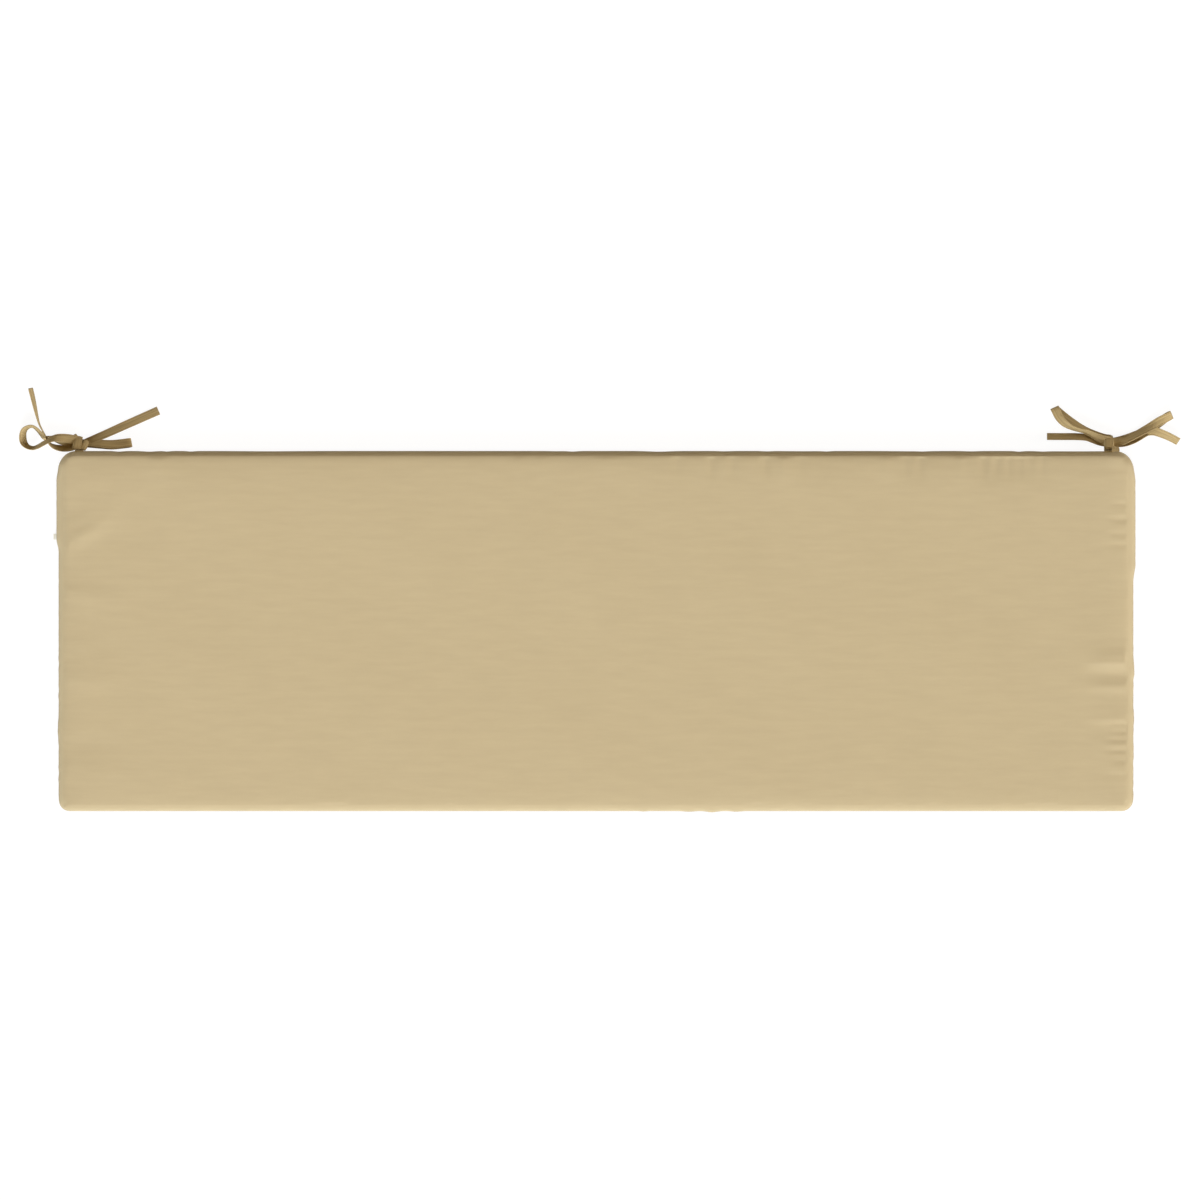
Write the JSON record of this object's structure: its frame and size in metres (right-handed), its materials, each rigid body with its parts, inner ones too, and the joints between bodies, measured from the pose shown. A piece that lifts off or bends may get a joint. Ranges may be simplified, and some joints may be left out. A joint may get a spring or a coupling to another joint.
{
  "type": "tie-on back cushion",
  "caption": "Long thin flat cushion in plain woven cloth, with a bulging side strip, crowned front panel and knotted cloth ties at its top corners.",
  "frame": {"origin": "middle of the flat back, on the plane that the cushion lies on", "axes": "+X along the length, to the right seen from the front; +Y towards the edge with the ties; +Z out of the front panel"},
  "size_m": [1.6171, 0.5908, 0.0323],
  "materials": {
    "cushion_cloth": "matt plain-woven polyester",
    "tie_cloth": "matt stitched tape of the same cloth",
    "tab_cloth": "plain white satin tape"
  },
  "bodies": {
    "root": {"cushion": "cushion_cloth", "tie_left": "tie_cloth", "tie_right": "tie_cloth", "side_tab": "tab_cloth"}
  },
  "joints": []
}
